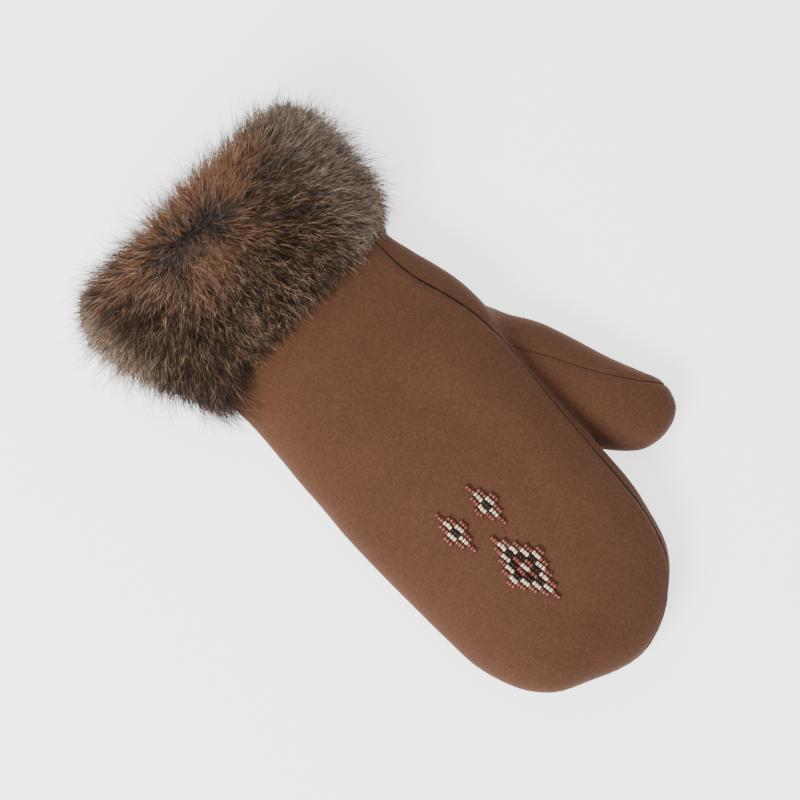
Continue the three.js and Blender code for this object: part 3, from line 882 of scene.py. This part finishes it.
def fur_pelt():
    """The pelt under the hair: a ring round the wrist, folded in at the mouth."""
    bpy.ops.object.select_all(action="DESELECT")
    bpy.ops.mesh.primitive_torus_add(
        major_segments=200, minor_segments=40, major_radius=1, minor_radius=0.3)
    ob = bpy.context.object
    ob.name = "fur_pelt"
    co = coordinates(ob.data)
    # A torus's large circle goes round the wrist, and its small one round the pelt's section.
    turn = np.degrees(np.arctan2(co[:, 1], co[:, 0]))
    radial = np.hypot(co[:, 0], co[:, 1]) - 1
    share = (np.degrees(np.arctan2(co[:, 2], radial)) % 360) / 360
    inner = -PANEL_WALL - GAP
    folded = inner - TURN_IN_DEPTH
    start = (64 * MM, 0.5 * MM)
    loop = np.concatenate([
        [start, (64 * MM, 1.4 * MM)],
        FUR_SIDE - [0, 1.2 * MM],
        [(-5.1 * MM, inner), (-1.8 * MM, folded), (6 * MM, folded),
         (12 * MM, inner - 0.8 * TURN_IN_DEPTH), (12 * MM, inner), (-GAP, inner),
         (-GAP, 0.5 * MM), (30 * MM, 0.5 * MM), start],
    ])
    steps = lengths_along(loop)
    along, out = (np.interp(share * steps[-1], steps, loop[:, k]) for k in (0, 1))
    set_coordinates(ob.data, around_wrist(turn, along, out))
    face_outwards(ob)
    shade_smooth(ob)
    return ob


def from_line(line, places):
    """From the nearest place on a line to each place on the unrolled pelt."""
    start, end = line
    way = end - start
    share = np.clip(((places - start) @ way) / (way @ way), 0, 1)
    return places - start - share[:, None] * way


def ripples(places, wave, seed):
    """A smooth field that swings between about -1 and 1 over the unrolled pelt."""
    rng = np.random.default_rng(seed)
    count = 9
    heading = rng.uniform(0, 2 * np.pi, count)
    pace = 2 * np.pi / (wave * rng.uniform(0.7, 1.5, count))
    ahead = np.stack([np.cos(heading), np.sin(heading)]) * pace
    return np.sin(places @ ahead + rng.uniform(0, 2 * np.pi, count)).sum(1) / math.sqrt(count)


def tone_weights(across, along):
    """How likely each tone is, from where the hair is rooted. Millimetres."""

    def spot(x, y, wide, high):
        return np.exp(-((across - x) / wide) ** 2 - ((along - y) / high) ** 2)

    places = np.stack([across, along], 1)
    gap = np.linalg.norm(from_line(PARTING / MM + [0, 1.3], places), axis=1)
    parted = np.exp(-(gap / 6.2) ** 4)
    rust = spot(7, 0, 27, 7) + spot(-19, -1, 15, 7) + spot(5, 14, 16, 9)
    rust = np.clip(rust, 0, 1) * (1 - 0.8 * parted)
    thumb_end = rising(-across, 30, 28)
    far_end = rising(across, 54, 13) * falling(along, 46, 20)
    dark_end = rising(across, 26, 12) * (1 - far_end)
    front = rising(along, 20, 18)
    # Painted light: tones near the mouth are lighter, to brighten the fur on the side that faces
    # away from the lamps.
    mouth = falling(along, 5, 9) * (1 - thumb_end)
    thumb_rim = rising(-across, 54, 14) * falling(along, 40, 24)
    rest = 1 - 0.9 * rust
    grey_spots = 1.4 * spot(-32, 9, 7, 5) + 1.6 * spot(-66, 24, 7, 5) + 1.2 * spot(-80, 44, 7, 6)
    weights = {
        "slate": 0.10 + 3.6 * parted + grey_spots,
        "black": (0.42 + 0.5 * front + 1.7 * dark_end) * rest * (1 - 0.7 * thumb_end),
        "umber": (0.90 + 0.2 * front + 0.6 * dark_end) * rest,
        "agouti": (0.36 + 0.34 * front) * rest * (1 - 0.9 * parted) * (1 - 0.65 * dark_end),
        # Rust, tan and cream near the mouth are painted light.
        "rust": 0.14 + 5.0 * rust + 0.5 * mouth,
        "tan": (0.08 + 1.8 * far_end + 0.35 * thumb_end + 0.8 * mouth) * rest * (1 - 0.9 * parted),
        "ash": 0.02 + 2.7 * thumb_end + 0.4 * far_end,
        "cream": 0.01 + 0.40 * thumb_end + 0.8 * thumb_rim + 1.0 * far_end + 0.25 * mouth,
    }
    for seed, name in enumerate(weights):
        weights[name] = weights[name] * np.clip(1 + 0.7 * ripples(places, 15, 40 + seed), 0.1, 3)
    return weights


def pick_tones(kind, across, along, rng):
    """A place across the map for each hair, which says its tone and how light it is."""
    weights = tone_weights(across / MM, along / MM)
    table = np.stack([weights[name] * kind["tones"].get(name, 1) for name in FUR_TONES], 1)
    table = np.cumsum(table, 1)
    drawn = rng.random(len(across))[:, None] * table[:, -1:]
    tone = (table < drawn).sum(1)
    return (tone + rng.uniform(0.08, 0.92, len(across))) / len(FUR_TONES)


def root_places(count, spread, rng):
    """Where hairs are rooted: length round the fur, and length in from the cut edge."""
    turns, lengths = even_turns()
    whole = fur_side_at(0)[3]
    round_at = rng.uniform(lengths[0], lengths[-1], count)
    side_at = rng.uniform(spread[0], spread[1], count) * whole
    turn = np.interp(round_at, lengths, turns)
    return turn, round_at, side_at


def kept_near(path):
    """Shortens the hairs that would reach too far from the solid parts."""
    low, high = (np.array(place) for place in CAD_BOX)
    room = 0.03 * (high - low) + 9 * MM
    root, tip = path[:, :1], path[:, -1:]
    over = np.clip((tip - root) / np.maximum(high + room - root, 1e-6), 1, None)
    under = np.clip((root - tip) / np.maximum(root - low + room, 1e-6), 1, None)
    return root + (path - root) / np.maximum(over, under).max(2, keepdims=True)


def lengths_of_hairs(kind, x, side_at, round_at, parted, reach, rng):
    """How long hairs are, from where they are rooted in millimetres.

    They are shorter where the fur parts, at the cuff's ends, at the mouth and at the hem, and
    longer at the little finger's end, where the photograph shows the fur standing out.
    """
    ends = rising(np.abs(round_at), 48, 22)
    rim = rising(round_at, 50, 12) * falloff(x - 22, 13)
    corner = rising(round_at, 40, 16) * falling(side_at, 12, 12)
    cut_corner = rising(-round_at, 42, 14) * falling(side_at, 18, 18)
    thumb_side = rising(-round_at, 48, 14) * falling(x, 46, 14)
    mouth_end = rising(np.abs(round_at), 50, 20) * falling(x, 10, 14)
    share = (1 - 0.45 * parted) * (1 + 0.20 * rim) * (1 + 2.0 * corner) * (1 - 0.30 * cut_corner)
    share = share * (1 - kind["ends"] * ends * (1 - rising(x, 46, 16)))
    share = share * (1 - 0.8 * kind["ends"] * thumb_side)
    share = share * (1 - 0.18 * falling(x, 12, 14)) * (1 - 0.24 * mouth_end)
    share = share * (kind["hem"] + (1 - kind["hem"]) * rising(side_at, -2, 20))
    uneven = 0.25 * reach + rng.normal(0, 0.12, len(x)) - 0.45 * ends * rng.random(len(x)) ** 2
    return sizes().hair_length * kind["length"] * share * (1 + uneven)


def hair_paths(kind, rng):
    """Roots, middles and tips of hairs, with the tone of each and the way up from the skin."""
    turn, round_at, side_at = root_places(kind["count"], kind["spread"], rng)
    x, y, tangent, whole = fur_side_at(side_at)
    # Few hairs grow beneath, where the cuff lies on the floor, except near the mouth.
    beneath = hand_normals(turn, np.full(len(turn), 1.0))[:, 2] < -0.35
    keep = ~beneath | (rng.random(len(turn)) < 0.2) | (side_at > 0.72 * whole)
    turn, round_at, side_at, x, y, tangent = (
        part[keep] for part in (turn, round_at, side_at, x, y, tangent))
    count = len(turn)
    root = around_wrist(turn, x, y - kind["depth"] * MM)
    skin = around_wrist(turn, x, y)
    step = tangent * MM
    up = unit(around_wrist(turn, x + step[:, 1], y - step[:, 0]) - skin)
    to_mouth = unit(around_wrist(turn, x + step[:, 0], y + step[:, 1]) - skin)
    side = unit(np.cross(up, to_mouth))
    onwards = around_wrist(turn + 1, x, y) - skin
    side *= np.where((side * onwards).sum(1) < 0, -1, 1)[:, None]

    # On the unrolled pelt, hairs are combed away from the parting.
    unrolled = np.stack([round_at, FUR_SIDE[0, 0] - side_at], 1)
    gap = np.linalg.norm(from_line(PARTING, unrolled), axis=1)
    parted = falloff(gap, 5 * MM)
    away = from_line(COMBED_FROM, unrolled)
    away[:, 0] = np.clip(away[:, 0], -40 * MM, 40 * MM)
    far = rising(round_at, 42 * MM, 14 * MM)
    away[:, 0] *= 0.3 + 0.7 * np.maximum(rising(side_at, 0, 26 * MM), far)
    flow = unit(away + 1e-6)

    # Hairs that are near each other lean, reach and bend together.
    seed, lock = 10 * kind["seed"], kind["lock"] * MM
    lean = ripples(unrolled, lock, seed)
    reach = 0.5 * ripples(unrolled, 0.8 * lock, seed + 1)
    bend = kind["bend"] * (ripples(unrolled, lock, seed + 2) + rng.normal(0, 0.7, count))
    angle = lean * kind["lean"] + rng.normal(0, kind["stray"], count)
    length = lengths_of_hairs(kind, x / MM, side_at / MM, round_at / MM, parted, reach, rng)
    # A hair rises steeply at its root, less further on, and droops at its tip.
    flat = 0.45 + 0.55 * rising(side_at, -2 * MM, 20 * MM)
    first = kind["rise"] - 6 * parted + rng.normal(0, 7, count)
    second = kind["later"] - 6 * parted + 16 * reach + rng.normal(0, 8, count)
    first, second = np.radians(first) * flat, np.radians(second) * flat
    third = second - np.radians(kind["droop"])

    def onward(start, share, by, tilt):
        cosine, sine = np.cos(by), np.sin(by)
        across = flow[:, 0] * cosine - flow[:, 1] * sine
        along = flow[:, 0] * sine + flow[:, 1] * cosine
        level = unit(side * across[:, None] - to_mouth * along[:, None])
        ahead = level * np.cos(tilt)[:, None] + up * np.sin(tilt)[:, None]
        return start + ahead * (length * share)[:, None]

    path = [root, onward(root, 0.34, angle - bend, first)]
    further = onward(path[-1], 0.33, angle, second)
    if kind["joints"] == 4:
        path.append(further)
    path.append(onward(further, 0.33, angle + 1.5 * bend, third))
    path = kept_near(np.stack(path, 1))
    path[:, :, 2] = np.maximum(path[:, :, 2], 0.4 * MM)
    across = np.where(np.abs(round_at) < 110 * MM, round_at, 70 * MM * np.sign(round_at))
    # Hairs inside the fold take the mouth's tones, with their painted light.
    along = np.where(side_at > 0.8 * whole, -8 * MM, x)
    shift = rng.normal(0, 3 * MM, (2, count))
    return path, pick_tones(kind, across + shift[0], along + shift[1], rng), up


def hairs_mesh(kind, path, tones, up, rng):
    """Closed three-sided hairs that taper to a point, as one mesh with its map."""
    count, joints = path.shape[:2]
    rings = joints - 1
    way = unit(path[:, -1] - path[:, 0])
    side = unit(np.cross(way, up))
    lift = unit(np.cross(side, way))
    corner = rng.uniform(0, 2 * np.pi, count)[:, None] + np.arange(3) * 2 * np.pi / 3
    spoke = side[:, None] * np.cos(corner)[:, :, None] + lift[:, None] * np.sin(corner)[:, :, None]
    half = kind["width"] * MM * 0.5 * rng.uniform(0.75, 1.25, count)
    taper = np.linspace(1.0, 0.62, rings)
    points = [path[:, r, None] + spoke * (half * taper[r])[:, None, None] for r in range(rings)]
    points = np.concatenate([*points, path[:, -1:]], 1)
    points[:, :, 2] = np.maximum(points[:, :, 2], 0.1 * MM)

    each, top = 3 * rings + 1, 3 * (rings - 1)
    turns = ((0, 1), (1, 2), (2, 0))
    quads = [
        (low + k, low + n, low + 3 + n, low + 3 + k) for low in range(0, top, 3) for k, n in turns]
    triangles = [(0, 2, 1)] + [(top + k, top + n, each - 1) for k, n in turns]
    base = (np.arange(count) * each)[:, None, None]
    quads = (np.array(quads) + base).reshape(-1, 4)
    triangles = (np.array(triangles) + base).reshape(-1, 3)
    mesh = bpy.data.meshes.new(kind["name"])
    mesh.from_pydata(points.reshape(-1, 3).tolist(), [], quads.tolist() + triangles.tolist())

    u = np.array([-0.1, 0.0, 0.1] * rings + [0]) * 0.25 / len(FUR_TONES)
    v = np.concatenate([np.repeat([0.02, kind["middle"], 0.67][:rings], 3), [0.99]])
    v = v + np.array([0, 0.006, 0.012] * rings + [0])
    spots = np.stack([tones[:, None] + u, np.broadcast_to(v, (count, each))], 2).reshape(-1, 2)
    spots = spots[np.concatenate([quads.ravel(), triangles.ravel()])]
    mesh.uv_layers.new(name="OFBake").uv.foreach_set("vector", spots.astype(np.float32).ravel())
    ob = new_object(kind["name"], mesh)
    shade_smooth(ob)
    return ob


# Beads

def bead_shape():
    """One drilled bead, its hole along Y."""
    wide = sizes().bead_width / 2
    hole = HOLE_SHARE * wide
    bpy.ops.object.select_all(action="DESELECT")
    bpy.ops.mesh.primitive_torus_add(
        major_segments=10, minor_segments=6,
        major_radius=(wide + hole) / 2, minor_radius=(wide - hole) / 2)
    ob = bpy.context.object
    co = coordinates(ob.data)
    co[:, 2] *= BEAD_FLATNESS * wide / ((wide - hole) / 2)
    co = co[:, [0, 2, 1]] * [1, 1, -1]
    set_coordinates(ob.data, co)
    return ob


def diamond_columns(rings):
    """Kinds of the runs in each column along the hand, from the diamond's rings."""
    half = [rings[:k + 1] + rings[:k][::-1] for k in range(len(rings))]
    return half + half[-2::-1]


def bead_places(tree):
    """Frame and kind of each bead, and place, way and normal of those in each run."""
    size = sizes()
    beads, runs = [], []
    rng = np.random.default_rng(11)
    for rings, (cx, cy), pitch, turned in DIAMONDS:
        spin = math.radians(turned)
        for column, kinds in enumerate(diamond_columns(rings)):
            across = (column - len(rings) + 1) * size.column_pitch
            for number, kind in enumerate(kinds):
                run = []
                for n in range(number * RUN, number * RUN + RUN):
                    from_middle = n - (len(kinds) * RUN - 1) / 2
                    along = from_middle * pitch + 0.08 * MM * rng.normal()
                    swayed = across + 0.10 * MM * rng.normal()
                    x = cx + swayed * math.cos(spin) - along * math.sin(spin)
                    y = cy + swayed * math.sin(spin) + along * math.cos(spin)
                    place, normal, _, _ = tree.ray_cast((x, y, 0.2), (0, 0, -1))
                    ahead = Vector((-math.sin(spin + 0.05 * rng.normal()), 1, 0)).normalized()
                    side = ahead.cross(normal).normalized()
                    ahead = normal.cross(side)
                    centre = place + normal * (size.bead_width * 0.44)
                    turn = Matrix((side, ahead, normal)).transposed().to_4x4()
                    beads.append((Matrix.Translation(centre) @ turn, kind))
                    run.append((centre, ahead, normal))
                runs.append(run)
    return beads, runs


def closed_piece(name, points, faces):
    mesh = bpy.data.meshes.new(name)
    mesh.from_pydata(points, [], faces)
    ob = new_object(name, mesh)
    face_outwards(ob)
    shade_smooth(ob)
    return ob


def bead_pieces(beads):
    """Beads of each kind as one piece."""
    shape = bead_shape()
    rng = np.random.default_rng(5)
    co = coordinates(shape.data)
    faces = np.array([list(p.vertices) for p in shape.data.polygons])
    made = []
    for letter, (name, _, _) in BEAD_KINDS.items():
        points, corners = [], []
        for frame_of, kind in beads:
            if kind != letter:
                continue
            grown = co * (1 + 0.05 * rng.normal(size=3).clip(-1.5, 1.5))
            matrix = np.array(frame_of)
            corners.append(faces + len(points) * len(co))
            points.append(grown @ matrix[:3, :3].T + matrix[:3, 3])
        made.append(closed_piece(
            "beads_" + name, np.concatenate(points).tolist(), np.concatenate(corners).tolist()))
    bpy.data.objects.remove(shape)
    return made


def bead_threads(runs):
    """The thread through each run of beads, which goes down into the suede at both ends."""
    sides, radius = 6, 0.16 * MM
    points, faces = [], []
    for run in runs:
        (first, ahead, normal), (last, onward, last_normal) = run[0], run[-1]
        path = [
            first - ahead * 1.25 * MM - normal * 1.6 * MM,
            first - ahead * 1.0 * MM - normal * 0.25 * MM,
            first, last,
            last + onward * 1.0 * MM - last_normal * 0.25 * MM,
            last + onward * 1.25 * MM - last_normal * 1.6 * MM,
        ]
        base = len(points)
        side = ahead.cross(normal).normalized()
        for k, p in enumerate(path):
            before, after = path[max(k - 1, 0)], path[min(k + 1, len(path) - 1)]
            up = side.cross((after - before).normalized()).normalized()
            for n in range(sides):
                turn = 2 * math.pi * n / sides
                points.append(p + (side * math.cos(turn) + up * math.sin(turn)) * radius)
        for k in range(len(path) - 1):
            for n in range(sides):
                a, b = base + k * sides + n, base + k * sides + (n + 1) % sides
                faces.append((a, b, b + sides, a + sides))
        faces.append(tuple(base + n for n in reversed(range(sides))))
        faces.append(tuple(base + (len(path) - 1) * sides + n for n in range(sides)))
    return closed_piece("bead_threads", points, faces)


# Operators

class MITTEN_OT_suede(bpy.types.Operator):
    """Make the back, heel and finger panels of suede"""

    bl_idname = "mitten.suede"
    bl_label = "Suede panels"

    def execute(self, context):
        for ob in suede_panels():
            select_only(ob)
            wall = ob.modifiers.new("Wall", "SOLIDIFY")
            wall.thickness = sizes().suede
            wall.offset = -1
            bpy.ops.object.modifier_apply(modifier=wall.name)
            shade_smooth(ob)
            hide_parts(PANELS[ob.name])
            finish_piece(ob, suede_material(ob.name))
        return {"FINISHED"}


class MITTEN_OT_pelt(bpy.types.Operator):
    """Make the pelt of the cuff"""

    bl_idname = "mitten.pelt"
    bl_label = "Pelt of the cuff"

    def execute(self, context):
        ob = fur_pelt()
        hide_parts("fur_cuff")
        finish_piece(ob, pelt_material("pelt"))
        return {"FINISHED"}


class MITTEN_OT_fur(bpy.types.Operator):
    """Grow the underfur and guard hairs of the cuff"""

    bl_idname = "mitten.fur"
    bl_label = "Fur of the cuff"

    def execute(self, context):
        material = fur_material("fur_hair")
        for row in HAIR_ROWS:
            kind = dict(zip(HAIR_COLUMNS, row))
            rng = np.random.default_rng(kind["seed"])
            ob = hairs_mesh(kind, *hair_paths(kind, rng), rng)
            finish_piece(ob, material)
        return {"FINISHED"}


class MITTEN_OT_beads(bpy.types.Operator):
    """Sew the beads onto the back"""

    bl_idname = "mitten.beads"
    bl_label = "Beadwork"

    def execute(self, context):
        back = bpy.data.objects.get("back_suede")
        if back is None:
            raise RuntimeError("The suede panels come before the beads")
        beads, runs = bead_places(BVHTree.FromObject(back, context.evaluated_depsgraph_get()))
        for ob, (name, rough, clear) in zip(bead_pieces(beads), BEAD_KINDS.values()):
            glass = bead_material(ob.name, getattr(colours(), "bead_" + name), rough, clear)
            finish_piece(ob, glass)
        finish_piece(bead_threads(runs), thread_material("thread"))
        return {"FINISHED"}


class MITTEN_OT_stage(bpy.types.Operator):
    """Set the floor, the lights and the camera"""

    bl_idname = "mitten.stage"
    bl_label = "Stage"

    def execute(self, context):
        scene = context.scene
        bpy.ops.object.select_all(action="DESELECT")
        bpy.ops.mesh.primitive_plane_add(size=6, location=(0, 0, -0.0002))
        floor = context.object
        floor.name = "floor"
        mat, shader, _ = new_material("floor")
        feed(shader, {
            "Base Color": (0.97, 0.97, 0.98, 1), "Roughness": 0.9, "Specular IOR Level": 0.1,
            "Emission Color": (0.96, 0.96, 1.0, 1), "Emission Strength": 1.9})
        floor.data.materials.append(mat)

        world = bpy.data.worlds.new("studio")
        scene.world = world
        world.use_nodes = True
        feed(world.node_tree.nodes["Background"], {
            "Color": (0.95, 0.97, 1.0, 1), "Strength": 0.58})
        for name, place, size, power in (
            ("key_light", (0.95, 0.05, 1.05), 0.7, 34),
            ("top_light", (-0.25, -0.75, 1.30), 1.2, 13),
        ):
            lamp = bpy.data.lights.new(name, "AREA")
            lamp.size, lamp.energy = size, power
            ob = new_object(name, lamp)
            ob.location = place
            ob.rotation_euler = Vector(place).to_track_quat("Z", "Y").to_euler()

        lens = bpy.data.cameras.new("camera")
        lens.lens, lens.sensor_width = 120, 36
        scene.camera = new_object("camera", lens)
        across, up, back = Vector((-1, 1, 0)), Vector((-1, -1, 0)), Vector((0, 0, 1))
        turn = Matrix((across.normalized(), up.normalized(), back)).transposed()
        far = PHOTO_SIDE * PIXEL * lens.lens / lens.sensor_width + SCALE_HEIGHT
        scene.camera.matrix_world = Matrix.Translation((*LOOKS_AT, far)) @ turn.to_4x4()
        return {"FINISHED"}


STEPS = (MITTEN_OT_suede, MITTEN_OT_pelt, MITTEN_OT_fur, MITTEN_OT_beads, MITTEN_OT_stage)


class MITTEN_PT_panel(bpy.types.Panel):
    """Lists the sizes, the colours and the steps"""

    bl_idname = "MITTEN_PT_panel"
    bl_label = "Fur mitten"
    bl_space_type = "VIEW_3D"
    bl_region_type = "UI"
    bl_category = "Mitten"

    def draw(self, context):
        for group in (context.scene.mitten_sizes, context.scene.mitten_colours):
            for name in group.__annotations__:
                self.layout.prop(group, name)
        for step in STEPS:
            self.layout.operator(step.bl_idname)


CLASSES = (MittenSizes, MittenColours, *STEPS, MITTEN_PT_panel)


def register():
    for kind in CLASSES:
        bpy.utils.register_class(kind)
    bpy.types.Scene.mitten_sizes = bpy.props.PointerProperty(type=MittenSizes)
    bpy.types.Scene.mitten_colours = bpy.props.PointerProperty(type=MittenColours)


def unregister():
    del bpy.types.Scene.mitten_colours
    del bpy.types.Scene.mitten_sizes
    for kind in reversed(CLASSES):
        bpy.utils.unregister_class(kind)


def main():
    register()
    bpy.ops.mitten.suede()
    bpy.ops.mitten.pelt()
    bpy.ops.mitten.fur()
    bpy.ops.mitten.beads()
    bpy.ops.mitten.stage()


if __name__ == "__main__":
    main()
